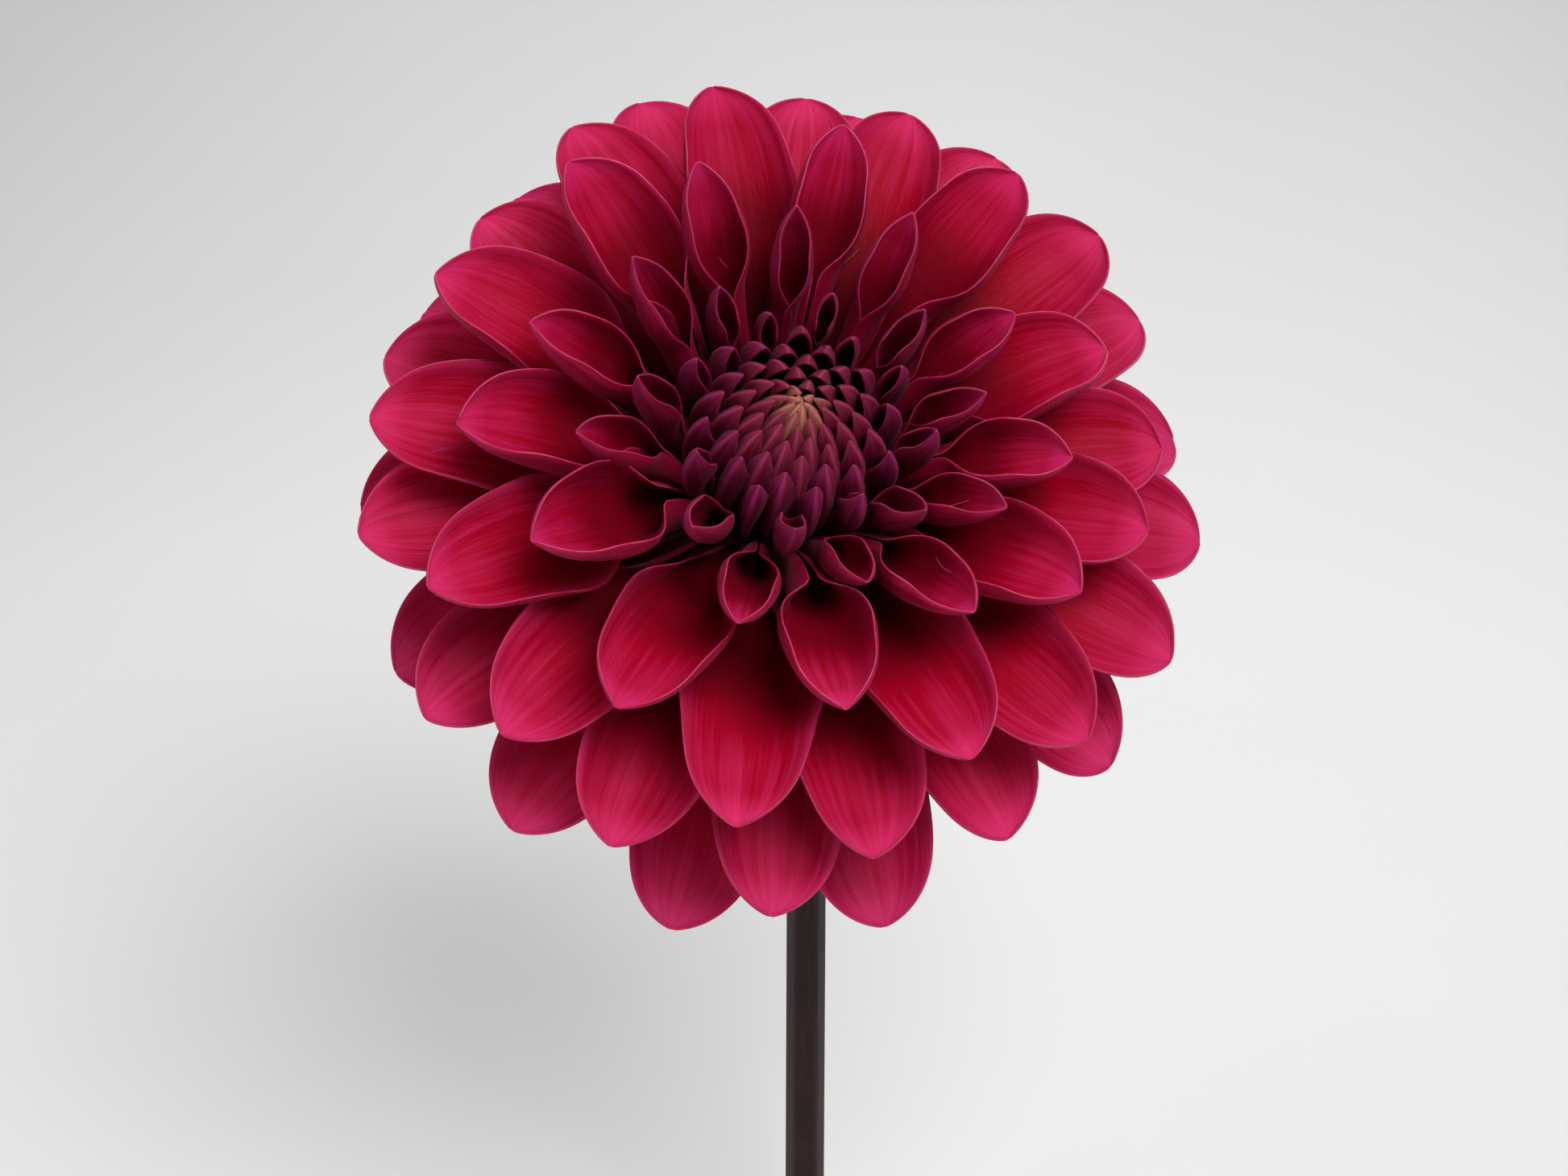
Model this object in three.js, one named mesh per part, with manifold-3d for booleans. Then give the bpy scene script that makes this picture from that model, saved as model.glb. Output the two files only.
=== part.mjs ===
// A cut decorative dahlia: a straight stem with a bent neck, and a nodding head of florets.
// Millimetres, +Z up. The origin is the centre of the stem's flat cut end, and the head faces
// -Y and upwards. Every floret follows one growth rule: they are numbered from the youngest,
// at the centre of the head, and each is turned a golden angle from the one before it.

import * as THREE from "three";
import { mergeVertices } from "three/addons/utils/BufferGeometryUtils.js";
import Module from "manifold-3d";

const wasm = await Module();
wasm.setup();

const rad = THREE.MathUtils.degToRad;
const mix = THREE.MathUtils.lerp;

// Stem
const STEM_RADIUS = 3.5; // at the cut end
const NECK_RADIUS = 3; // under the head
const STRAIGHT_LENGTH = 128; // the upright part, below the bend
const STEM_SIDES = 14;
const STEM_STEPS = 20;

// Head: where the middle of its receptacle is, and which way it faces
const HEAD_CENTRE = new THREE.Vector3(-5.3, -18, 172);
const HEAD_RISE = 48; // degrees that its axis rises above the level
const HEAD_TURN = 12.5; // degrees that its axis turns from -Y towards +X
const NECK_REACH = 17; // length of the neck curve's two handles

// Receptacle: the dome that the florets stand on
const RECEPTACLE_RADIUS = 14;
const DOME_HEIGHT = 7;
const DOME_STEPS = 5;
const UNDERSIDE = [[0, -6], [3.6, -6], [9.8, -3.3], [14, -1]]; // radius and height
const RECEPTACLE_SIDES = 28;

// Florets
const FLORET_COUNT = 152;
const FIRST_PETAL = 107; // from this number on each floret is a petal with its own node
const GOLDEN_ANGLE = 180 * (3 - Math.sqrt(5));
const FIRST_TURN = 150.5; // degrees from the head's right to floret 0
const FOOT_WIDTH = 1.5;
const WIDEST_AT = 0.66; // share of its length at which a blade is widest
const TIP_WIDTH = 0.8;
const TIP_THINNING = 0.45; // share of its thickness that a blade loses towards its tip

// How a floret changes with its number. Its midrib starts at footLift and ends at tipLift,
// in degrees above the level plane of the head. cup is half the angle of its arched section.
const STAGES = [
  { number: 0, footLift: 88, tipLift: 92, length: 21, width: 3, cup: 40 },
  { number: 32, footLift: 58, tipLift: 112, length: 23, width: 5, cup: 40 },
  { number: 62, footLift: 42, tipLift: 98, length: 21.5, width: 7, cup: 40 },
  { number: 78, footLift: 40, tipLift: 102, length: 27.5, width: 9, cup: 40 },
  { number: 96, footLift: 40, tipLift: 56, length: 35.5, width: 12, cup: 40 },
  { number: 114, footLift: 35, tipLift: 12, length: 47, width: 16, cup: 38 },
  { number: 132, footLift: 22, tipLift: -15, length: 48, width: 18.5, cup: 36 },
  { number: 152, footLift: 0, tipLift: -31, length: 51, width: 19, cup: 34 },
];

// Petals: the open florets
const PETAL = { thickness: 0.7, stand: 0.7, setIn: 0, splits: 4, steps: 8 };

// Young florets: those of the closed bud, which show only beyond their middle, and the
// half-open ones round it. All are joined to one core, with their feet set into it.
const HALF_OPEN_FROM = 78;
const CLOSED_FLORET = { thickness: 1.6, stand: 1.6, setIn: 1.4, splits: 1, steps: 3, from: 0.35 };
const HALF_OPEN_FLORET = { thickness: 1.6, stand: 1.6, setIn: 1.4, splits: 1, steps: 4 };
const YOUNG_WIDTH_SHARE = 0.8;
const CORE_SIDES = 16;
const CORE_PROFILE = [
  [0, 8], [6, 6.6], [10.2, 4.2], [12.6, 9], [14.4, 16], [13.2, 21.5], [8, 25], [0, 26],
];

// Bracts: green leafy ones that fold back to the stem, and papery ones behind the petals
const OUTER_BRACT = {
  count: 5, firstTurn: 0, foot: { radius: 11, height: -3.9, width: 3 },
  footLift: -28, tipLift: -75, length: 19, width: 7.5, cup: 25,
  thickness: 0.8, splits: 2, steps: 5,
};
const INNER_BRACT = {
  count: 8, firstTurn: 15, foot: { radius: 14.7, height: -1.5, width: 4 },
  footLift: -16, tipLift: -34, length: 19, width: 8.5, cup: 25,
  thickness: 0.5, splits: 2, steps: 5,
};

const stemSkin = new THREE.MeshStandardMaterial({ color: 0x4a2226, roughness: 0.6, metalness: 0 });
const petalSkin = new THREE.MeshStandardMaterial({ color: 0xb0123c, roughness: 0.5, metalness: 0 });
const youngSkin = new THREE.MeshStandardMaterial({ color: 0x5c0a2c, roughness: 0.55, metalness: 0 });
const leafSkin = new THREE.MeshStandardMaterial({ color: 0x5f7a3a, roughness: 0.65, metalness: 0 });
const scaleSkin = new THREE.MeshStandardMaterial({ color: 0x8c7a52, roughness: 0.7, metalness: 0 });

const flower = new THREE.Group();

// The head is a group whose own +Z is the head's axis and whose +X points to its right.
const axis = new THREE.Vector3(0, -1, 0)
  .applyAxisAngle(new THREE.Vector3(1, 0, 0), -rad(HEAD_RISE))
  .applyAxisAngle(new THREE.Vector3(0, 0, 1), rad(HEAD_TURN));
const headRight = new THREE.Vector3(1, 0, 0).projectOnPlane(axis).normalize();
const headUp = new THREE.Vector3().crossVectors(axis, headRight);
const head = new THREE.Group();
head.position.copy(HEAD_CENTRE);
head.setRotationFromMatrix(new THREE.Matrix4().makeBasis(headRight, headUp, axis));
head.updateMatrix();
flower.add(head);

function addPiece(parent, name, geometry, material) {
  const piece = new THREE.Mesh(geometry, material);
  piece.name = name;
  parent.add(piece);
}

// Moves every vertex of a geometry with place(point).
function reshape(geometry, place) {
  const position = geometry.attributes.position;
  const point = new THREE.Vector3();
  for (let i = 0; i < position.count; i += 1) {
    point.fromBufferAttribute(position, i);
    place(point);
    position.setXYZ(i, point.x, point.y, point.z);
  }
  return geometry;
}

function toSolid(geometry) {
  const bare = geometry.clone();
  bare.deleteAttribute("normal");
  bare.deleteAttribute("uv");
  const merged = mergeVertices(bare, 1e-4);
  return new wasm.Manifold(new wasm.Mesh({
    numProp: 3,
    vertProperties: new Float32Array(merged.attributes.position.array),
    triVerts: new Uint32Array(merged.index.array),
  }));
}

function toGeometry(solid) {
  const mesh = solid.getMesh();
  const geometry = new THREE.BufferGeometry();
  geometry.setAttribute("position", new THREE.BufferAttribute(mesh.vertProperties, 3));
  geometry.setIndex(new THREE.BufferAttribute(mesh.triVerts, 1));
  geometry.computeVertexNormals();
  return geometry;
}

// A lathed solid round the head's axis, from points of radius and height.
function turnedGeometry(points, sides) {
  const profile = points.map(([radius, height]) => new THREE.Vector2(radius, height));
  return new THREE.LatheGeometry(profile, sides).rotateX(Math.PI / 2);
}

function domeHeight(radius) {
  return DOME_HEIGHT * (1 - (radius / RECEPTACLE_RADIUS) ** 2);
}

// The florets share the dome in equal areas.
function floretFoot(number, setIn, stand) {
  const share = Math.sqrt((number + 0.5) / FLORET_COUNT);
  const radius = Math.max(0, RECEPTACLE_RADIUS * share - setIn);
  return { radius, height: domeHeight(radius) + stand, width: FOOT_WIDTH };
}

function floretStage(number) {
  const next = STAGES.findIndex((stage) => stage.number > number);
  const from = STAGES[next - 1];
  const to = STAGES[next];
  const share = (number - from.number) / (to.number - from.number);
  const stage = {};
  for (const key of Object.keys(from)) stage[key] = mix(from[key], to[key], share);
  return stage;
}

// The midrib is a circular arc in the upright plane that holds the head's axis.
function midribAt(blade, along) {
  const start = rad(blade.footLift);
  const swing = rad(blade.tipLift - blade.footLift);
  const lift = start + swing * along;
  return {
    lift,
    radius: blade.foot.radius + (blade.length * (Math.sin(lift) - Math.sin(start))) / swing,
    height: blade.foot.height + (blade.length * (Math.cos(start) - Math.cos(lift))) / swing,
  };
}

// A blade is narrow at its foot, widest at WIDEST_AT and pointed at its tip.
function widthAt(blade, along) {
  if (along < WIDEST_AT) {
    const rise = Math.sin((along / WIDEST_AT) * (Math.PI / 2)) ** 1.5;
    return mix(blade.foot.width, blade.width, rise);
  }
  const fall = (along - WIDEST_AT) / (1 - WIDEST_AT);
  return Math.max(TIP_WIDTH, blade.width * (1 - fall ** 2.2) ** 0.75);
}

// A thin arched blade, bent out of a flat box, that leaves the head's axis at turn.
function bladeGeometry(blade, turn) {
  const box = new THREE.BoxGeometry(2, 1, 1, blade.splits, 1, blade.steps);
  const cup = rad(blade.cup);
  return reshape(box, (point) => {
    const along = mix(blade.from ?? 0, 1, point.z + 0.5);
    const rib = midribAt(blade, along);
    const archRadius = widthAt(blade, along) / 2 / Math.sin(cup);
    const reach = archRadius - point.y * blade.thickness * (1 - TIP_THINNING * along);
    const across = reach * Math.sin(point.x * cup);
    const inward = archRadius - reach * Math.cos(point.x * cup);
    const radius = rib.radius - inward * Math.sin(rib.lift);
    const height = rib.height + inward * Math.cos(rib.lift);
    point.set(
      radius * Math.cos(turn) - across * Math.sin(turn),
      radius * Math.sin(turn) + across * Math.cos(turn),
      height,
    );
  });
}

function floretGeometry(number, form) {
  const blade = {
    ...floretStage(number),
    ...form,
    foot: floretFoot(number, form.setIn, form.stand),
  };
  blade.width *= form.widthShare ?? 1;
  return bladeGeometry(blade, rad(FIRST_TURN + number * GOLDEN_ANGLE));
}

// Stem, bent neck and receptacle grew as one piece.
function stemGeometry() {
  const knee = new THREE.Vector3(0, 0, STRAIGHT_LENGTH);
  const neck = HEAD_CENTRE.clone().addScaledVector(axis, UNDERSIDE[0][1]);
  const path = new THREE.CurvePath();
  path.add(new THREE.LineCurve3(new THREE.Vector3(), knee));
  path.add(new THREE.CubicBezierCurve3(
    knee,
    knee.clone().setZ(STRAIGHT_LENGTH + NECK_REACH),
    neck.clone().addScaledVector(axis, -NECK_REACH),
    HEAD_CENTRE,
  ));
  const front = new THREE.Vector3(0, -1, 0);
  const stalk = new THREE.CylinderGeometry(1, 1, 1, STEM_SIDES, STEM_STEPS);
  reshape(stalk, (point) => {
    const along = point.y + 0.5;
    const tangent = path.getTangentAt(along);
    const across = new THREE.Vector3().crossVectors(tangent, front).normalize();
    const forward = new THREE.Vector3().crossVectors(across, tangent);
    const radius = mix(STEM_RADIUS, NECK_RADIUS, along);
    const { x, z } = point;
    point.copy(path.getPointAt(along));
    point.addScaledVector(across, x * radius).addScaledVector(forward, z * radius);
  });
  const profile = [...UNDERSIDE];
  for (let i = 0; i <= DOME_STEPS; i += 1) {
    const radius = RECEPTACLE_RADIUS * (1 - i / DOME_STEPS);
    profile.push([radius, domeHeight(radius)]);
  }
  const receptacle = turnedGeometry(profile, RECEPTACLE_SIDES).applyMatrix4(head.matrix);
  return toGeometry(toSolid(stalk).add(toSolid(receptacle)));
}
addPiece(flower, "stem", stemGeometry(), stemSkin);

// The petals are numbered from the outermost one inwards.
for (let number = FLORET_COUNT - 1; number >= FIRST_PETAL; number -= 1) {
  const name = `petal_${String(FLORET_COUNT - number).padStart(2, "0")}`;
  addPiece(head, name, floretGeometry(number, PETAL), petalSkin);
}

// All younger florets are joined to the core of the bud.
function youngFloretsGeometry() {
  let solid = toSolid(turnedGeometry(CORE_PROFILE, CORE_SIDES));
  for (let number = 0; number < FIRST_PETAL; number += 1) {
    const form = number < HALF_OPEN_FROM ? CLOSED_FLORET : HALF_OPEN_FLORET;
    const floret = floretGeometry(number, { ...form, widthShare: YOUNG_WIDTH_SHARE });
    solid = solid.add(toSolid(floret));
  }
  return toGeometry(solid);
}
addPiece(head, "young_florets", youngFloretsGeometry(), youngSkin);

function addBracts(name, bract, material) {
  for (let i = 0; i < bract.count; i += 1) {
    const turn = rad(bract.firstTurn + (360 * i) / bract.count);
    addPiece(head, `${name}_${i + 1}`, bladeGeometry(bract, turn), material);
  }
}
addBracts("outer_bract", OUTER_BRACT, leafSkin);
addBracts("inner_bract", INNER_BRACT, scaleSkin);

export default flower;
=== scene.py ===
# A cut crimson dahlia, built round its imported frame: stem, bracts, petals, bud.

from math import cos, pi, radians, sin, sqrt

import bpy
import numpy as np
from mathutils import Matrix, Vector


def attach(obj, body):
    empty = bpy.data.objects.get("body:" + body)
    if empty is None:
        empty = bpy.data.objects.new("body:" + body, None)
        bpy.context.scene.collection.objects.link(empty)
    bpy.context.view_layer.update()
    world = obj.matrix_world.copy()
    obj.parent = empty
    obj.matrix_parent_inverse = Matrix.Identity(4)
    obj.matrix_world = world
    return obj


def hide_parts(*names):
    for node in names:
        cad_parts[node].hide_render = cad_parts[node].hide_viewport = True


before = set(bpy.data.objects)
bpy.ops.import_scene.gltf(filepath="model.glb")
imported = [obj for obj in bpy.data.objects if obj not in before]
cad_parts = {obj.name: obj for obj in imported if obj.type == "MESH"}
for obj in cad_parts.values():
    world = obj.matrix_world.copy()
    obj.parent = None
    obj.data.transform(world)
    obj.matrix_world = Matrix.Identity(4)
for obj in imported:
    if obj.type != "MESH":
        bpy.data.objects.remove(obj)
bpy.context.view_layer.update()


# ---------------------------------------------------------------------------------------
# Camera. It looks slightly down at the head from in front, a little to its left.
# ---------------------------------------------------------------------------------------

HEAD_CENTRE = Vector((-0.0053, -0.018, 0.172))
CAMERA_FROM_HEAD = Vector((0.0016, -0.2957, 0.1316))
CAMERA_PITCH = 26.5
LENS = 51.8

camera_data = bpy.data.cameras.new("camera")
camera_data.lens = LENS
camera_data.sensor_width = 36.0
camera_data.clip_start = 0.01
camera = bpy.data.objects.new("camera", camera_data)
camera.location = HEAD_CENTRE + CAMERA_FROM_HEAD
camera.rotation_euler = (radians(90 - CAMERA_PITCH), 0.0, 0.0)
bpy.context.scene.collection.objects.link(camera)
bpy.context.scene.camera = camera


# ---------------------------------------------------------------------------------------
# Stem. One grown piece: a round, faintly ribbed stalk of maroon-brown skin, cut flat at
# its foot, that bends over under the head and swells into the dome that carries the
# florets.
# ---------------------------------------------------------------------------------------

HEAD_RISE = radians(48)
HEAD_TURN = radians(12.5)
STEM_RADIUS = 0.0034
NECK_RADIUS = 0.0029
STRAIGHT_LENGTH = 0.128
NECK_REACH = 0.017
DOME_RADIUS = 0.014
DOME_HEIGHT = 0.007
STEM_RIBS = 6
STEM_RIB_DEPTH = 0.00012
STEM_LOOPS = 120
STEM_SIDES = 72
TANGENT_STEP = 0.0015
# Distance along the head's axis from the dome's rim, and the radius there.
RECEPTACLE = [(-0.009, 0.0029), (-0.0065, 0.0034), (-0.005, 0.0062), (-0.0032, 0.0102),
              (-0.001, 0.0137), (0.0, 0.014)]

HEAD_AXIS = Vector((
    cos(HEAD_RISE) * sin(HEAD_TURN),
    -cos(HEAD_RISE) * cos(HEAD_TURN),
    sin(HEAD_RISE),
))
HEAD_RIGHT = (Vector((1, 0, 0)) - HEAD_AXIS * HEAD_AXIS.x).normalized()
HEAD_UP = HEAD_AXIS.cross(HEAD_RIGHT)
HEAD_FRAME = np.array([HEAD_RIGHT, HEAD_UP, HEAD_AXIS])


def pick_only(piece):
    """Deselects everything and makes piece the active, selected object."""
    if bpy.context.mode != "OBJECT":
        bpy.ops.object.mode_set(mode="OBJECT")
    bpy.ops.object.select_all(action="DESELECT")
    piece.select_set(True)
    bpy.context.view_layer.objects.active = piece


def read_points(piece):
    points = np.empty(len(piece.data.vertices) * 3)
    piece.data.vertices.foreach_get("co", points)
    return points.reshape(-1, 3)


def write_points(piece, points):
    piece.data.vertices.foreach_set("co", np.asarray(points).ravel())
    piece.data.update()


def apply_modifiers(piece):
    pick_only(piece)
    for modifier in list(piece.modifiers):
        bpy.ops.object.modifier_apply(modifier=modifier.name)


def to_row(points):
    """Points of the head, whose third axis is its own, in the row frame."""
    return np.array(HEAD_CENTRE) + points @ HEAD_FRAME


def bezier(start, first, second, end, share):
    share = np.asarray(share)[:, None]
    rest = 1 - share
    return (rest ** 3 * np.array(start) + 3 * rest ** 2 * share * np.array(first)
            + 3 * rest * share ** 2 * np.array(second) + share ** 3 * np.array(end))


knee = Vector((0, 0, STRAIGHT_LENGTH))
neck = HEAD_CENTRE + HEAD_AXIS * RECEPTACLE[0][0]
stem_route = np.vstack([
    np.linspace((0, 0, 0), knee, 60, endpoint=False),
    bezier(knee, knee + Vector((0, 0, NECK_REACH)), neck - HEAD_AXIS * NECK_REACH, neck,
           np.linspace(0, 1, 40, endpoint=False)),
    np.linspace(neck, HEAD_CENTRE + HEAD_AXIS * DOME_HEIGHT, 40),
])
route_length = np.concatenate([
    [0], np.cumsum(np.linalg.norm(np.diff(stem_route, axis=0), axis=1))])
rim_at = route_length[-1] - DOME_HEIGHT
thin_to = rim_at + RECEPTACLE[0][0]

bpy.ops.mesh.primitive_cylinder_add(vertices=STEM_SIDES, radius=1, depth=1, end_fill_type="NGON")
stem = bpy.context.object
stem.name = "flower_stem"
pick_only(stem)
bpy.ops.object.mode_set(mode="EDIT")
bpy.ops.mesh.select_mode(type="EDGE")
bpy.ops.mesh.select_all(action="DESELECT")
bpy.ops.object.mode_set(mode="OBJECT")
for edge in stem.data.edges:
    low, high = (stem.data.vertices[i].co.z for i in edge.vertices)
    edge.select = abs(low - high) > 0.5
bpy.ops.object.mode_set(mode="EDIT")
bpy.ops.mesh.subdivide(number_cuts=STEM_LOOPS)
bpy.ops.object.mode_set(mode="OBJECT")

points = read_points(stem)
share = points[:, 2] + 0.5
turn = np.arctan2(points[:, 1], points[:, 0])
# Most of the loops go to the neck and the head's end, where the shape turns quickly.
distance = np.interp(share, [0, 0.3, 0.6, 1.0],
                     [0, STRAIGHT_LENGTH, thin_to, route_length[-1]])
along_axis = distance - rim_at
radius = np.interp(distance, [0, thin_to], [STEM_RADIUS, NECK_RADIUS])
radius += STEM_RIB_DEPTH * np.cos(STEM_RIBS * turn)
swelling = np.interp(along_axis, *np.array(RECEPTACLE).T)
radius = np.where(along_axis > RECEPTACLE[0][0], swelling, radius)
dome = np.sqrt(np.clip(1 - along_axis / DOME_HEIGHT, 0.0004, 1)) * DOME_RADIUS
radius = np.where(along_axis > 0, dome, radius)
centre = np.stack([np.interp(distance, route_length, stem_route[:, i]) for i in range(3)], 1)
tangent = np.stack([
    np.interp(distance + TANGENT_STEP, route_length, stem_route[:, i])
    - np.interp(distance - TANGENT_STEP, route_length, stem_route[:, i]) for i in range(3)], 1)
tangent /= np.linalg.norm(tangent, axis=1)[:, None]
across = np.cross(tangent, (0, -1, 0))
across /= np.linalg.norm(across, axis=1)[:, None]
forward = np.cross(across, tangent)
write_points(stem, centre + radius[:, None] * (
    np.cos(turn)[:, None] * across - np.sin(turn)[:, None] * forward))
pick_only(stem)
bpy.ops.object.mode_set(mode="EDIT")
bpy.ops.mesh.select_all(action="SELECT")
bpy.ops.mesh.normals_make_consistent(inside=False)
bpy.ops.object.mode_set(mode="OBJECT")
bpy.ops.object.shade_smooth_by_angle(angle=radians(50))


class Finish:
    """A material's node tree, with short calls for the nodes that the finishes here use."""

    def __init__(self, name, roughness, **sockets):
        self.material = bpy.data.materials.new(name)
        self.material.use_nodes = True
        self.tree = self.material.node_tree
        self.shader = self.tree.nodes["Principled BSDF"]
        self.shader.inputs["Roughness"].default_value = roughness
        for socket, value in sockets.items():
            self.shader.inputs[socket.replace("_", " ")].default_value = value

    def node(self, kind, inputs=(), **settings):
        made = self.tree.nodes.new("ShaderNode" + kind)
        for key, value in settings.items():
            setattr(made, key, value)
        for key, value in dict(inputs).items():
            if isinstance(value, bpy.types.NodeSocket):
                self.tree.links.new(value, made.inputs[key])
            else:
                made.inputs[key].default_value = value
        return made

    def math(self, operation, *values):
        return self.node("Math", enumerate(values), operation=operation).outputs[0]

    def ramp(self, value, stops):
        """A colour or a grey for each value from 0 to 1. A stop is a place and a colour."""
        made = self.node("ValToRGB", {"Fac": value})
        ramp = made.color_ramp
        ramp.interpolation = "EASE"
        while len(ramp.elements) < len(stops):
            ramp.elements.new(0.5)
        for element, (place, colour) in zip(ramp.elements, stops):
            element.position = place
            grey = isinstance(colour, (int, float))
            element.color = (colour, colour, colour, 1) if grey else (*colour, 1)
        return made.outputs["Color"]

    def mix(self, share, low, high):
        made = self.node("Mix", data_type="RGBA", blend_type="MIX")
        for socket, value in zip((made.inputs[0], made.inputs[6], made.inputs[7]),
                                 (share, low, high)):
            if isinstance(value, bpy.types.NodeSocket):
                self.tree.links.new(value, socket)
            elif isinstance(value, tuple):
                socket.default_value = (*value, 1)
            else:
                socket.default_value = value
        return made.outputs[2]

    def noise(self, vector, scale, detail=3.0, roughness=0.55, distortion=0.0):
        return self.node("TexNoise", {
            "Vector": vector, "Scale": scale, "Detail": detail, "Roughness": roughness,
            "Distortion": distortion,
        }).outputs["Fac"]

    def stretched(self, vector, scale):
        return self.node("Mapping", {"Vector": vector, "Scale": scale}).outputs[0]

    def place(self):
        return self.node("TexCoord").outputs["Object"]

    def colour(self, socket):
        self.tree.links.new(socket, self.shader.inputs["Base Color"])

    def bump(self, height, depth):
        made = self.node("Bump", {"Height": height, "Distance": depth, "Strength": 1.0})
        self.tree.links.new(made.outputs[0], self.shader.inputs["Normal"])


bark = Finish("stem_skin", roughness=0.5, Specular_IOR_Level=0.2)
where = bark.place()
blotches = bark.noise(where, 90, detail=4)
fibres = bark.noise(bark.stretched(where, (1400, 1400, 60)), 1, detail=3)
hue = bark.ramp(blotches, [(0.3, (0.008, 0.002, 0.003)), (0.5, (0.016, 0.004, 0.005)),
                           (0.72, (0.022, 0.009, 0.006))])
bark.colour(bark.mix(bark.ramp(fibres, [(0.5, 0.0), (0.75, 0.45)]), hue, (0.04, 0.013, 0.013)))
bark.bump(fibres, 0.00008)
stem.data.materials.append(bark.material)
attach(stem, "root")
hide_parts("stem")


# ---------------------------------------------------------------------------------------
# Green bracts. A ring of five small fleshy leaves under the head, folded back towards the
# stem; they held the bud shut before the flower opened.
# ---------------------------------------------------------------------------------------

def bowed(low, high, share):
    return low + (high - low) * share


def eased(value, low, high):
    """0 below low, 1 above high, and a smooth rise between them."""
    share = np.clip((value - low) / (high - low), 0, 1)
    return share * share * (3 - 2 * share)


MIDRIB_SAMPLES = 200
SECTION_STEPS = 40
HOOK_FROM = 0.72
PINCH_FROM = 0.8
DIP_AT, DIP_REACH = 0.49, 0.14
KEEL_REACH = 0.12
CREASE_AT, CREASE_REACH = 0.42, 0.13
MIDRIB_REACH = 0.2
THINNEST = 0.0003


def blade_points(blade, across, along):
    """Where a flat blank's points go on a bent and rolled blade, in the row frame.

    across runs from -1 to 1 over the blade's width, and along from 0 at its foot to 1.
    The section turns by roll at the foot, cup in the middle and pinch at the tip. A blade
    is blunt where its tip is broad, and agape where its rolled foot stands a little open."""
    # The midrib, an arc in the plane of the head's axis, with a hook at its tip.
    steps = np.linspace(0, 1, MIDRIB_SAMPLES)
    lift = np.radians(bowed(blade["foot_lift"], blade["tip_lift"], steps)
                      + blade["hook"] * eased(steps, HOOK_FROM, 1.0))
    step = blade["length"] / (MIDRIB_SAMPLES - 1)
    out = blade["radius"] + np.concatenate([[0], np.cumsum(np.cos(lift[:-1]))]) * step
    up = blade["height"] + np.concatenate([[0], np.cumsum(np.sin(lift[:-1]))]) * step
    lift, out, up = (np.interp(along, steps, values) for values in (lift, out, up))

    # The flat width, and how far the section turns from the midrib to its margin.
    rise = blade["foot_width"] + (1 - blade["foot_width"]) * np.sin(
        np.clip(along / blade["widest"], 0, 1) * pi / 2) ** blade["spread"]
    fall = np.clip((along - blade["widest"]) / (1 - blade["widest"]), 0, 1)
    width = blade["width"] * np.where(
        along < blade["widest"], rise,
        np.clip(1 - fall ** blade["blunt"], 0, 1) ** (1.6 / blade["blunt"]))
    width = np.maximum(width, THINNEST)
    opening = np.clip((along - blade["shut_to"]) / (blade["open_at"] - blade["shut_to"]), 0, 1)
    opening = np.sqrt(1 - (1 - opening) ** 2)
    curl = bowed(blade["roll"], blade["cup"], opening)
    curl = curl - blade["dip"] * np.exp(-((along - DIP_AT) / DIP_REACH) ** 2)
    curl = np.radians(bowed(curl, blade["pinch"], eased(along, PINCH_FROM, 1.0)))

    # The section is summed outwards from the midrib, its margins turning more than its
    # middle. A blank has few columns, so the sum is taken in fine steps of its own.
    fine = np.linspace(0, 1, SECTION_STEPS + 1)
    side, inward = np.zeros_like(along), np.zeros_like(along)
    middle = blade["flat_middle"] * bowed(blade["agape"], 1, opening)
    keel = blade["keel"]
    reach = np.abs(across)
    for low, high in zip(fine[:-1], fine[1:]):
        share = np.clip((reach - low) / (high - low), 0, 1) * (high - low)
        centre = (low + high) / 2
        rounded = (1 - middle) * centre + middle * centre ** 3
        angle = curl * ((1 - keel) * rounded + keel * (1 - np.exp(-centre / KEEL_REACH)))
        side += share * np.cos(angle)
        inward += share * np.sin(angle)
    flatter = 1 + blade["flatten"] * (1 - opening)
    side *= np.sign(across) * width / 2 * flatter
    inward *= width / 2 / flatter ** 1.2

    # Two soft creases run along the blade and meet at its tip.
    crease = np.exp(-((reach - CREASE_AT) / CREASE_REACH) ** 2)
    crease -= 0.6 * np.exp(-(reach / MIDRIB_REACH) ** 2)
    inward -= blade["crease"] * crease * eased(along, 0.5, 0.75) * (1 - eased(along, 0.9, 1))
    wave = np.sin(along * blade["waves"] * pi + blade["phase"] + np.sign(across))
    inward += blade["ruffle"] * wave * reach ** 2 * eased(along, 0.25, 0.6)

    # The blade may twist about its midrib, and sway to one side.
    twist = np.radians(blade["twist"]) * along
    side, inward = (side * np.cos(twist) - inward * np.sin(twist),
                    side * np.sin(twist) + inward * np.cos(twist))
    side = side + blade["sway"] * along ** 2
    out = out - inward * np.sin(lift)
    up = up + inward * np.cos(lift)
    turn = blade["turn"]
    return to_row(np.stack([
        out * cos(turn) - side * sin(turn), out * sin(turn) + side * cos(turn), up], 1))


TIP_CROWDING = 1.5


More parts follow.
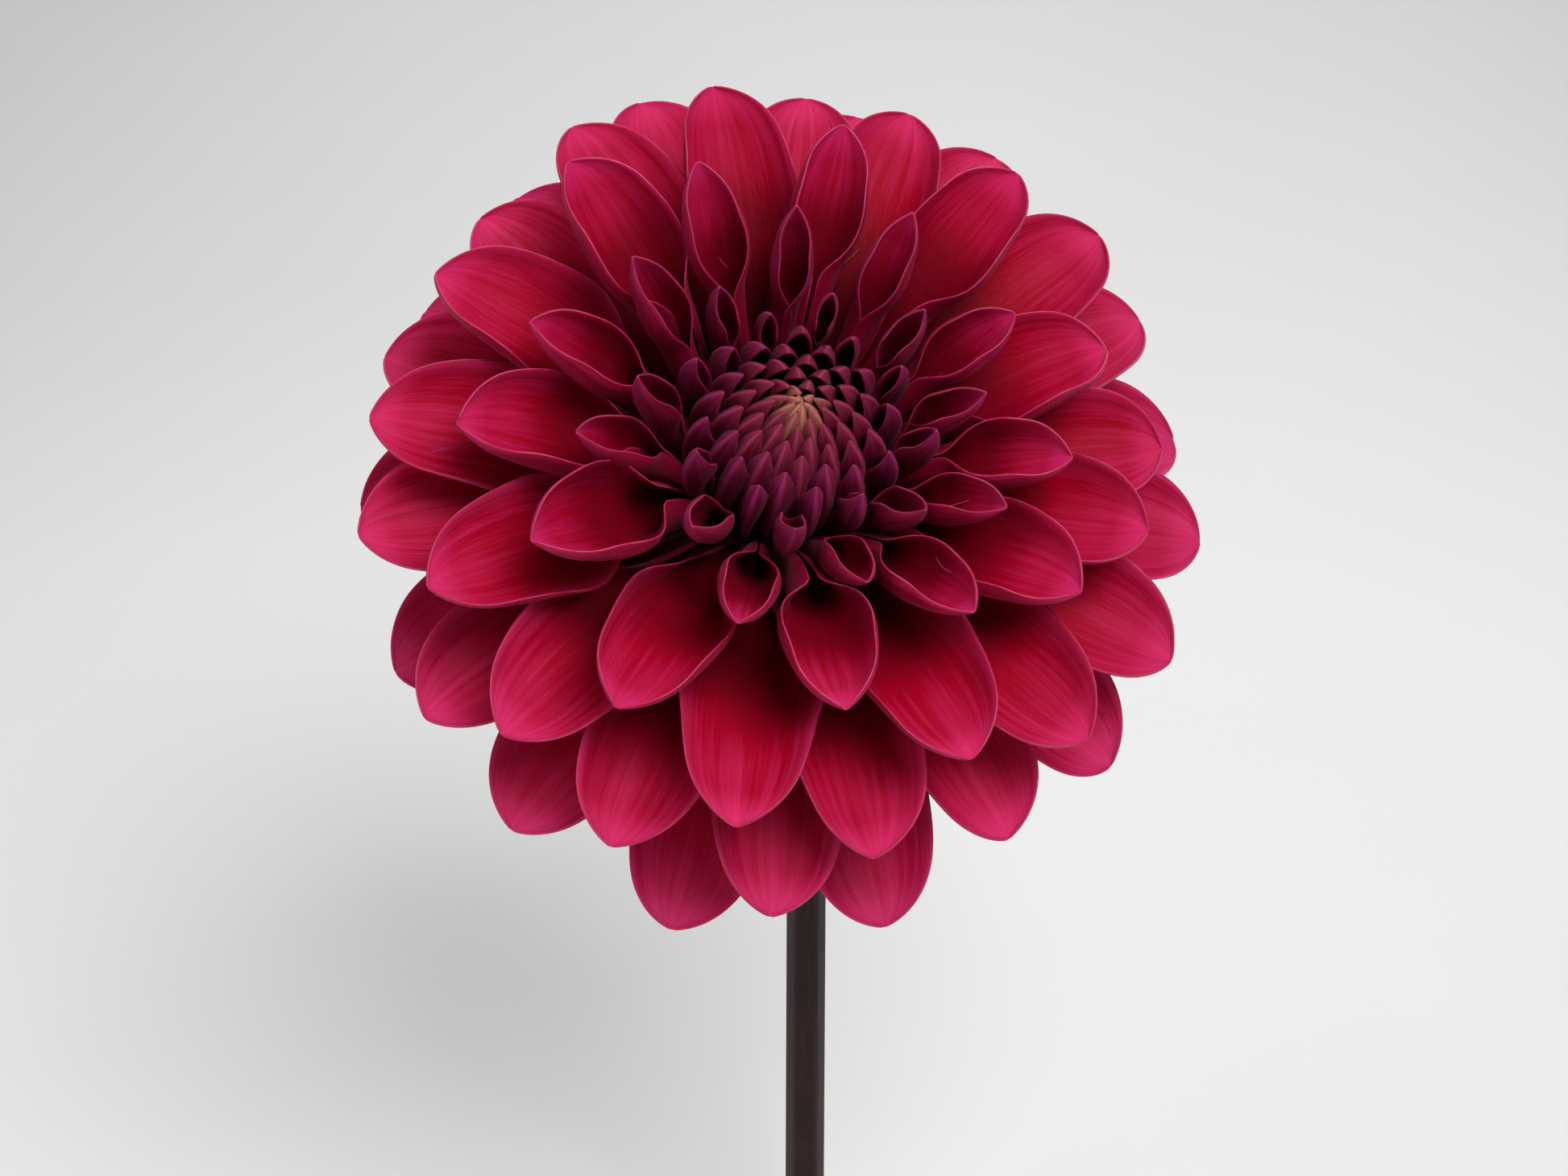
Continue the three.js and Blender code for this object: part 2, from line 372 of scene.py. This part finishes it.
def make_blade(name, blade, columns, rows, thickness, finishes, age):
    """A thin closed blade: a flat grid, bent to shape, given its thickness and rounded."""
    bpy.ops.mesh.primitive_grid_add(x_subdivisions=columns, y_subdivisions=rows, size=2)
    piece = bpy.context.object
    piece.name = name
    pick_only(piece)
    blank = read_points(piece)
    across, along = blank[:, 0], blank[:, 1] / 2 + 0.5
    # The rows lie closer together towards the tip, where the outline turns.
    along = 1 - (1 - along) ** TIP_CROWDING
    uv = piece.data.uv_layers.active or piece.data.uv_layers.new()
    uv.name = "blade"
    corner = np.array([loop.vertex_index for loop in piece.data.loops])
    uv.data.foreach_set("uv", np.stack([across / 2 + 0.5, along], 1)[corner].ravel())
    write_points(piece, blade_points(blade, across, along))
    for finish in finishes:
        piece.data.materials.append(finish.material)
    shell = piece.modifiers.new("thickness", "SOLIDIFY")
    shell.thickness = thickness
    shell.offset = 0
    shell.use_rim = True
    shell.material_offset = 1
    shell.material_offset_rim = 2
    rounding = piece.modifiers.new("rounding", "SUBSURF")
    rounding.levels = rounding.render_levels = 1
    apply_modifiers(piece)
    bpy.ops.object.shade_smooth()
    for key, value in {"age": age, "tone": blade["tone"]}.items():
        layer = piece.data.attributes.new(key, "FLOAT", "POINT")
        layer.data.foreach_set("value", np.full(len(piece.data.vertices), value, np.float32))
    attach(piece, "root")
    return piece


def blade_finish(name, roughness, **sockets):
    """A finish, with the blade's own coordinates and its age and tone to hand."""
    finish = Finish(name, roughness, **sockets)
    across, along, _ = finish.node("SeparateXYZ", {
        "Vector": finish.node("UVMap", uv_map="blade").outputs[0]}).outputs
    finish.across, finish.along = across, along
    finish.age = finish.node("Attribute", attribute_name="age").outputs["Fac"]
    finish.tone = finish.node("Attribute", attribute_name="tone").outputs["Fac"]
    finish.edge = finish.math("ABSOLUTE", finish.math(
        "SUBTRACT", finish.math("MULTIPLY", across, 2.0), 1.0))
    seed = finish.math("MULTIPLY", finish.tone, 37.0)
    finish.grain = lambda fine, long: finish.node("CombineXYZ", {
        "X": finish.math("MULTIPLY", across, fine),
        "Y": finish.math("MULTIPLY", along, long), "Z": seed}).outputs[0]
    return finish


leaf = blade_finish("bract_leaf", roughness=0.5, Subsurface_Weight=0.15,
                    Subsurface_Radius=(0.6, 1.0, 0.3), Subsurface_Scale=0.001)
leaf_veins = leaf.noise(leaf.grain(14, 2.2), 1, detail=4)
leaf_hue = leaf.ramp(leaf_veins, [(0.3, (0.055, 0.085, 0.022)), (0.55, (0.13, 0.19, 0.05)),
                                  (0.8, (0.24, 0.28, 0.09))])
leaf.colour(leaf.mix(leaf.ramp(leaf.along, [(0.0, 0.0), (0.85, 0.15), (1.0, 0.6)]), leaf_hue,
                     (0.11, 0.035, 0.03)))
leaf.bump(leaf_veins, 0.00025)

GREEN_BRACTS = 5
GREEN_BRACT_THICKNESS = 0.0008
GREEN_BRACT = {
    "radius": 0.011, "height": -0.0039, "foot_lift": -28, "tip_lift": -75, "hook": -15,
    "length": 0.019, "width": 0.009, "foot_width": 0.45, "widest": 0.5,
    "blunt": 2.3, "spread": 1.0,
    "roll": 40, "cup": 30, "pinch": 30, "shut_to": 0.1, "open_at": 0.5, "flat_middle": 0.3,
    "keel": 0.0, "flatten": 0.0, "agape": 1.0, "dip": 0.0,
    "crease": 0.0002, "ruffle": 0.0002, "waves": 2.0, "phase": 0.0, "twist": 0, "sway": 0,
}
rng = np.random.default_rng(7)
for i in range(GREEN_BRACTS):
    blade = {**GREEN_BRACT, "turn": 2 * pi * i / GREEN_BRACTS, "tone": rng.random(),
             "twist": rng.uniform(-12, 12), "sway": rng.uniform(-0.0015, 0.0015)}
    bract = make_blade(f"green_bract_{i + 1}", blade, 8, 12, GREEN_BRACT_THICKNESS,
                       [leaf] * 3, 1.0)
    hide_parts(f"outer_bract_{i + 1}")


# ---------------------------------------------------------------------------------------
# Papery bracts. Eight thin, dry, brownish scales that press on the backs of the outermost
# petals.
# ---------------------------------------------------------------------------------------

scale = blade_finish("bract_scale", roughness=0.55, Subsurface_Weight=0.2,
                     Subsurface_Radius=(1.0, 0.7, 0.3), Subsurface_Scale=0.001)
scale_veins = scale.noise(scale.grain(20, 1.6), 1, detail=5)
scale_hue = scale.ramp(scale_veins, [(0.3, (0.16, 0.12, 0.045)), (0.6, (0.33, 0.27, 0.12)),
                                     (0.85, (0.46, 0.38, 0.22))])
scale.colour(scale.mix(scale.ramp(scale.along, [(0.0, 0.5), (0.4, 0.0), (1.0, 0.35)]),
                       scale_hue, (0.22, 0.05, 0.04)))
scale.bump(scale_veins, 0.0002)

PAPERY_BRACTS = 8
PAPERY_BRACT_THICKNESS = 0.0004
PAPERY_BRACT = {
    "radius": 0.0147, "height": -0.0015, "foot_lift": -16, "tip_lift": -34, "hook": 0,
    "length": 0.019, "width": 0.0095, "foot_width": 0.5, "widest": 0.55,
    "blunt": 2.3, "spread": 1.0,
    "roll": 35, "cup": 28, "pinch": 25, "shut_to": 0.1, "open_at": 0.5, "flat_middle": 0.2,
    "keel": 0.0, "flatten": 0.0, "agape": 1.0, "dip": 0.0,
    "crease": 0.0001, "ruffle": 0.0002, "waves": 2.4, "phase": 1.0,
}
for i in range(PAPERY_BRACTS):
    blade = {**PAPERY_BRACT, "turn": radians(15) + 2 * pi * i / PAPERY_BRACTS,
             "tone": rng.random(), "twist": rng.uniform(-6, 6),
             "sway": rng.uniform(-0.001, 0.001)}
    bract = make_blade(f"papery_bract_{i + 1}", blade, 8, 12, PAPERY_BRACT_THICKNESS,
                       [scale] * 3, 1.0)
    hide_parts(f"inner_bract_{i + 1}")


# ---------------------------------------------------------------------------------------
# Florets. Every one grew by the same rule, so one table of stages shapes them all, from
# the outermost petals to the closed florets of the bud. Each is turned a golden angle from
# the one before it. They are soft, slightly fleshy blades, crimson and velvety inside.
# ---------------------------------------------------------------------------------------

FLORETS = 152
GOLDEN_ANGLE = pi * (3 - sqrt(5))
FIRST_TURN = radians(150.5)
SEAT_GAP = 0.0007
FIRST_SEED = 1000
FLAT_FROM = 108
# Number, foot lift and tip lift in degrees, length and flat width in mm, then how far the
# section turns at the foot, in the cup and at the tip, where along it starts to open and is
# open, its keel, how late the claw widens, and how much flatter it lies under the younger.
STAGES = np.array([
    (0, 88, 100, 20.0, 2.6, 70, 70, 60, 0.1, 0.5, 0.9, 1.2, 0),
    (14, 78, 116, 22.0, 4.4, 68, 68, 60, 0.1, 0.5, 0.9, 1.2, 0),
    (32, 62, 124, 23.0, 6.2, 66, 64, 56, 0.1, 0.5, 0.9, 1.2, 0),
    (62, 48, 120, 24.0, 8.4, 72, 68, 58, 0.1, 0.5, 0.85, 1.2, 0),
    (72, 50, 106, 25.5, 9.5, 115, 95, 72, 0.5, 0.80, 0.7, 1.2, 0),
    (78, 52, 95, 27.5, 11.0, 160, 120, 84, 0.58, 0.75, 0.45, 1.2, 0),
    (84, 53, 76, 31.0, 14.0, 176, 132, 90, 0.58, 0.76, 0.2, 1.2, 0),
    (90, 53, 57, 33.2, 16.5, 178, 136, 92, 0.58, 0.77, 0, 1.2, 0),
    (95, 51, 45, 35.0, 18.5, 178, 132, 92, 0.57, 0.76, 0, 1.2, 0),
    (99, 49, 37, 37.5, 20.5, 178, 130, 92, 0.56, 0.74, 0, 1.2, 3),
    (103, 46, 28, 40.0, 23.5, 178, 121, 88, 0.54, 0.72, 0, 1.2, 8),
    (108, 38, 21, 43.5, 24.0, 178, 113, 84, 0.52, 0.70, 0, 1.4, 30),
    (116, 25, 14, 47.0, 24.0, 178, 91, 72, 0.44, 0.65, 0, 1.7, 50),
    (132, 10, -3, 48.5, 23.5, 175, 79, 64, 0.35, 0.59, 0, 1.8, 53),
    (152, -10, -21, 50.0, 22.0, 165, 62, 52, 0.2, 0.5, 0, 1.5, 25),
])
STAGE_KEYS = ("foot_lift", "tip_lift", "length", "width", "roll", "cup", "pinch",
              "shut_to", "open_at", "keel", "spread", "dip")
MM = 0.001
# Florets that stray from the rule: how far one leans to the side, in degrees, its share of
# the length, and how many places further on it has opened.
STRAYS = {
    80: (-5, 1.0, 0), 83: (-4, 1.0, 0), 85: (-2, 0.92, 0), 86: (-3, 1.1, 0), 88: (-4, 0.9, -3),
    89: (-3, 1.1, 0), 90: (0, 0.9, -3), 91: (-3, 1.08, -3), 92: (-4, 1.04, -3),
    93: (-8, 0.94, -4), 94: (0, 1.12, 0), 95: (2, 1.03, -4), 96: (-3, 0.93, -5),
    97: (0, 1.06, -1), 98: (-1, 0.99, -2), 99: (0, 1.13, 0), 100: (-7, 1.12, 4),
    101: (-6, 0.88, -4), 102: (0, 1.12, 3), 103: (3, 1.04, -1), 104: (1, 1.12, 1),
    105: (-1, 1.0, 2), 106: (-1, 0.94, 0), 107: (0, 1.06, 4), 108: (2, 1.0, 0),
    109: (-1, 0.9, 0), 110: (3, 1.03, 2), 111: (1, 1.0, 3), 114: (-1, 0.92, 0),
    118: (5, 1.0, 0), 120: (-4, 0.97, 0), 122: (-4, 0.89, 0), 123: (0, 0.92, 0),
    131: (2, 0.92, 0), 134: (3, 0.98, 0), 136: (0, 0.91, 0), 137: (0, 1.03, 0),
    139: (2, 0.91, 0), 144: (0, 0.89, 0), 145: (-5, 1.03, 0), 147: (4, 0.92, 0),
    149: (0, 0.95, 0), 150: (3, 1.02, 0),
}


def floret_blade(number):
    lean, reach, ahead = STRAYS.get(number, (0, 1, 0))
    # A stray opens ahead of its place, but its lifts and its length stay its own.
    stage = {key: np.interp(number + (ahead if i > 2 else 0), STAGES[:, 0], STAGES[:, i + 1])
             for i, key in enumerate(STAGE_KEYS)}
    stage["length"] *= MM
    stage["width"] *= MM
    share = sqrt((number + 0.5) / FLORETS)
    chance = np.random.default_rng(FIRST_SEED + number)
    openness = float(eased(number, 70, 110))
    return {
        **stage,
        "radius": DOME_RADIUS * share,
        "height": DOME_HEIGHT * (1 - share * share) + SEAT_GAP,
        "length": stage["length"] * reach * chance.uniform(0.985, 1.015),
        "tip_lift": stage["tip_lift"] + openness * chance.uniform(-2, 2),
        "turn": FIRST_TURN + GOLDEN_ANGLE * number + radians(lean),
        "foot_width": 0.25, "widest": 0.78 - 0.12 * openness,
        "blunt": bowed(1.8, 2.7, float(eased(number, 86, 110))),
        "agape": float(eased(number, 103, 111)),
        "flat_middle": 0.3 * openness, "hook": 30 - 18 * openness,
        "flatten": 0.3 * openness * max(0, (number - FLAT_FROM) / (FLORETS - 1 - FLAT_FROM)),
        "crease": 0.00014 * openness, "ruffle": 0.00025 * openness,
        "waves": chance.uniform(1.6, 2.6), "phase": chance.uniform(0, 2 * pi),
        "twist": openness * chance.uniform(-9, 9),
        "sway": openness * chance.uniform(-0.0015, 0.0015),
        "tone": chance.random(),
    }


face = blade_finish("petal_inside", roughness=0.5, Specular_IOR_Level=0.07,
                    Subsurface_Weight=0.45, Subsurface_Radius=(1.0, 0.08, 0.16),
                    Subsurface_Scale=0.001, Sheen_Weight=0.03, Sheen_Roughness=0.4)
face.shader.inputs["Sheen Tint"].default_value = (1.0, 0.3, 0.6, 1)
streaks = face.noise(face.grain(26, 1.6), 1, detail=5, roughness=0.6, distortion=0.3)
clouds = face.noise(face.grain(3, 2.5), 1, detail=2)
# Rose comes in from the margins and the tip, broken into streaks.
margin = face.ramp(face.edge, [(0.4, 0.0), (0.75, 0.3), (1.0, 0.95)])
tipward = face.ramp(face.along, [(0.62, 0.0), (0.86, 0.3), (1.0, 1.0)])
rose = face.math("ADD", face.math("MAXIMUM", margin, tipward), face.math(
    "MULTIPLY", face.math("SUBTRACT", streaks, 0.54), 1.2))
rose = face.math("ADD", rose, face.math("MULTIPLY", face.math("SUBTRACT", clouds, 0.5), 0.4))
rose = face.node("Clamp", {"Value": rose}).outputs[0]
rose = face.math("MULTIPLY", rose, face.ramp(face.along, [(0.3, 0.0), (0.65, 1.0)]))
base = face.ramp(face.age, [(0.05, (0.16, 0.035, 0.03)), (0.14, (0.09, 0.004, 0.016)),
                            (0.50, (0.14, 0.0005, 0.016)), (0.62, (0.33, 0.0003, 0.018)),
                            (0.74, (0.38, 0.0002, 0.018)), (1.0, (0.36, 0.0008, 0.036))])
pale = face.ramp(face.age, [(0.05, (0.44, 0.19, 0.12)), (0.2, (0.20, 0.03, 0.07)),
                            (0.50, (0.28, 0.010, 0.09)), (0.64, (0.64, 0.018, 0.15)),
                            (0.78, (0.72, 0.032, 0.17)), (1.0, (0.54, 0.03, 0.15))])
skin = face.mix(rose, base, pale)
# Painted shade darkens the throat of each cup; the younger a cup is, the further out this
# painted shade reaches.
throat_shade_reach = face.math("MULTIPLY", face.math("SUBTRACT", 0.76, face.age), 1.4)
throat_shade_reach = face.node("Clamp", {"Value": throat_shade_reach, "Max": 0.14}).outputs[0]
painted_throat_shade = face.ramp(face.math("SUBTRACT", face.along, throat_shade_reach),
                   [(0.25, 0.9), (0.48, 0.6), (0.72, 0.0)])
# Painted shade: down in the throat the skin is mixed towards near black.
face.colour(face.mix(painted_throat_shade, skin, (0.07, 0.0, 0.003)))
face.bump(face.math("ADD", streaks, face.noise(face.grain(90, 30), 1, detail=2)), 0.00012)

back = blade_finish("petal_back", roughness=0.5, Specular_IOR_Level=0.1,
                    Subsurface_Weight=0.4, Subsurface_Radius=(1.0, 0.12, 0.2),
                    Subsurface_Scale=0.0012, Sheen_Weight=0.05, Sheen_Roughness=0.4)
back.shader.inputs["Sheen Tint"].default_value = (1.0, 0.5, 0.8, 1)
back_streaks = back.noise(back.grain(22, 1.8), 1, detail=5, roughness=0.6)
back_base = back.ramp(back.age, [(0.06, (0.46, 0.14, 0.065)), (0.17, (0.14, 0.004, 0.015)),
                                 (0.5, (0.10, 0.0005, 0.013)), (0.64, (0.22, 0.0006, 0.02)),
                                 (1.0, (0.34, 0.004, 0.06))])
back_pale = back.ramp(back.age, [(0.06, (0.55, 0.25, 0.17)), (0.17, (0.31, 0.035, 0.09)),
                                 (0.5, (0.28, 0.02, 0.11)), (0.68, (0.46, 0.016, 0.10)),
                                 (1.0, (0.55, 0.08, 0.24))])
# A pale bloom lies along the keel of the young ones, partly their own colour and partly a
# painted highlight on the keel's edge, and near the tips of the old ones.
keel_pale_and_highlight = back.ramp(back.edge, [(0.0, 1.0), (0.07, 0.7), (0.16, 0.0)])
keel_pale_and_highlight = back.math("MULTIPLY", keel_pale_and_highlight, back.ramp(back.age, [(0.5, 0.7), (0.6, 0.1)]))
bloom_and_keel_highlight = back.math("ADD", back.ramp(back.along, [(0.5, 0.0), (0.85, 0.2), (1.0, 0.55)]),
                  back.math("MULTIPLY", back.math("SUBTRACT", back_streaks, 0.52), 1.4))
# The keel's pale line, partly a painted highlight, is added into the bloom here.
bloom_and_keel_highlight = back.math("ADD", bloom_and_keel_highlight, keel_pale_and_highlight)
back.colour(back.mix(back.node("Clamp", {"Value": bloom_and_keel_highlight}).outputs[0], back_base, back_pale))
back.bump(back_streaks, 0.00015)

rim = blade_finish("petal_rim", roughness=0.5, Subsurface_Weight=0.3,
                   Subsurface_Radius=(1.0, 0.3, 0.4), Subsurface_Scale=0.001)
rim_grain = rim.noise(rim.grain(4, 18), 1, detail=3)
rim_hue = rim.ramp(rim.age, [(0.05, (0.30, 0.12, 0.08)), (0.2, (0.16, 0.012, 0.04)),
                             (0.5, (0.14, 0.005, 0.04)), (0.60, (0.26, 0.01, 0.07)),
                             (0.67, (0.50, 0.02, 0.12)),
                             (0.74, (0.46, 0.012, 0.09)), (1.0, (0.42, 0.015, 0.09))])
rim_skin = rim.mix(rim.ramp(rim_grain, [(0.4, 0.0), (0.6, 1.0)]), rim_hue, (0.40, 0.003, 0.05))
# The margin is darkened with painted shade down in the throat, which reaches further out on an
# open petal.
rim_shade_end = rim.math("MULTIPLY", rim.math("SUBTRACT", rim.age, 0.7), 4.0)
rim_shade_end = rim.node("Clamp", {"Value": rim_shade_end, "Max": 0.35}).outputs[0]
outwards = rim.math("SUBTRACT", rim.along, rim_shade_end)
# Painted shade: the margin is mixed towards near black inside the throat.
rim.colour(rim.mix(rim.ramp(outwards, [(0.3, 0.9), (0.46, 0.0)]), rim_skin, (0.12, 0.0, 0.008)))
rim.bump(rim_grain, 0.00005)

FLORET_FINISHES = [back, face, rim]


# ---------------------------------------------------------------------------------------
# Petals. The open outer rows, from the outermost inwards: broad, cupped and pointed, their
# feet rolled into a throat. Each one is a piece of its own, set into the dome by its claw.
# ---------------------------------------------------------------------------------------

FIRST_PETAL = 107
PETAL_THICKNESS = 0.00032

for number in range(FLORETS - 1, FIRST_PETAL - 1, -1):
    place = FLORETS - number
    petal = make_blade(f"open_petal_{place:02d}", floret_blade(number), 14, 22,
                       PETAL_THICKNESS, FLORET_FINISHES, number / (FLORETS - 1))
    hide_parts(f"petal_{place:02d}")


# ---------------------------------------------------------------------------------------
# Half-open petals. The ring between the open rows and the bud: tubes and narrow cups whose
# mouths face outwards, darker and more purple towards the bud.
# ---------------------------------------------------------------------------------------

FIRST_HALF_OPEN = 78

for number in range(FIRST_PETAL - 1, FIRST_HALF_OPEN - 1, -1):
    petal = make_blade(f"half_open_petal_{FIRST_PETAL - number:02d}", floret_blade(number),
                       14, 20, PETAL_THICKNESS, FLORET_FINISHES, number / (FLORETS - 1))
    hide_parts("young_florets")


# ---------------------------------------------------------------------------------------
# Bud. The youngest florets, still closed: narrow folded blades that lean in over the
# centre in spiral rows, maroon with a mauve bloom, and golden-tan at the very middle.
# ---------------------------------------------------------------------------------------

BUD_THICKNESS = 0.0004

for number in range(FIRST_HALF_OPEN):
    floret = make_blade(f"bud_floret_{number + 1:02d}", floret_blade(number), 8, 12,
                        BUD_THICKNESS, FLORET_FINISHES, number / (FLORETS - 1))
    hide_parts("young_florets")


# ---------------------------------------------------------------------------------------
# Studio. A plain pale floor that curves up behind, and soft light from above and in front.
# ---------------------------------------------------------------------------------------

FLOOR_REACH = 1.6
CURVE_FROM = 0.5
CURVE_RISE = 0.9

bpy.ops.mesh.primitive_grid_add(x_subdivisions=2, y_subdivisions=40, size=2 * FLOOR_REACH)
floor = bpy.context.object
floor.name = "floor"
points = read_points(floor)
behind = np.clip(points[:, 1] - CURVE_FROM, 0, None)
points[:, 2] = CURVE_RISE * behind ** 2
write_points(floor, points)
pick_only(floor)
bpy.ops.object.shade_smooth()
paper = Finish("studio_paper", roughness=0.9)
paper.colour(paper.ramp(paper.noise(paper.place(), 4), [(0.0, (0.72, 0.71, 0.70)),
                                                        (1.0, (0.76, 0.75, 0.74))]))
floor.data.materials.append(paper.material)


def add_softbox(name, offset, size, power, colour):
    data = bpy.data.lights.new(name, "AREA")
    data.shape = "RECTANGLE"
    data.size, data.size_y = size
    data.energy = power
    data.color = colour
    light = bpy.data.objects.new(name, data)
    light.location = HEAD_CENTRE + Vector(offset)
    light.rotation_euler = (-Vector(offset)).to_track_quat("-Z", "Y").to_euler()
    bpy.context.scene.collection.objects.link(light)


add_softbox("key_light", (0.3, -0.55, 0.7), (0.5, 0.45), 7.8, (1.0, 1.0, 1.0))
add_softbox("side_light", (-0.7, -0.3, 0.35), (0.4, 0.6), 2.0, (0.95, 0.96, 1.0))
add_softbox("back_light", (0.15, 0.6, 0.6), (0.6, 0.5), 4.5, (1.0, 1.0, 1.0))

world = bpy.data.worlds.new("studio")
world.use_nodes = True
world.node_tree.nodes["Background"].inputs["Color"].default_value = (0.9, 0.93, 1.0, 1)
world.node_tree.nodes["Background"].inputs["Strength"].default_value = 0.25
bpy.context.scene.world = world
bpy.context.scene.view_settings.view_transform = "Standard"
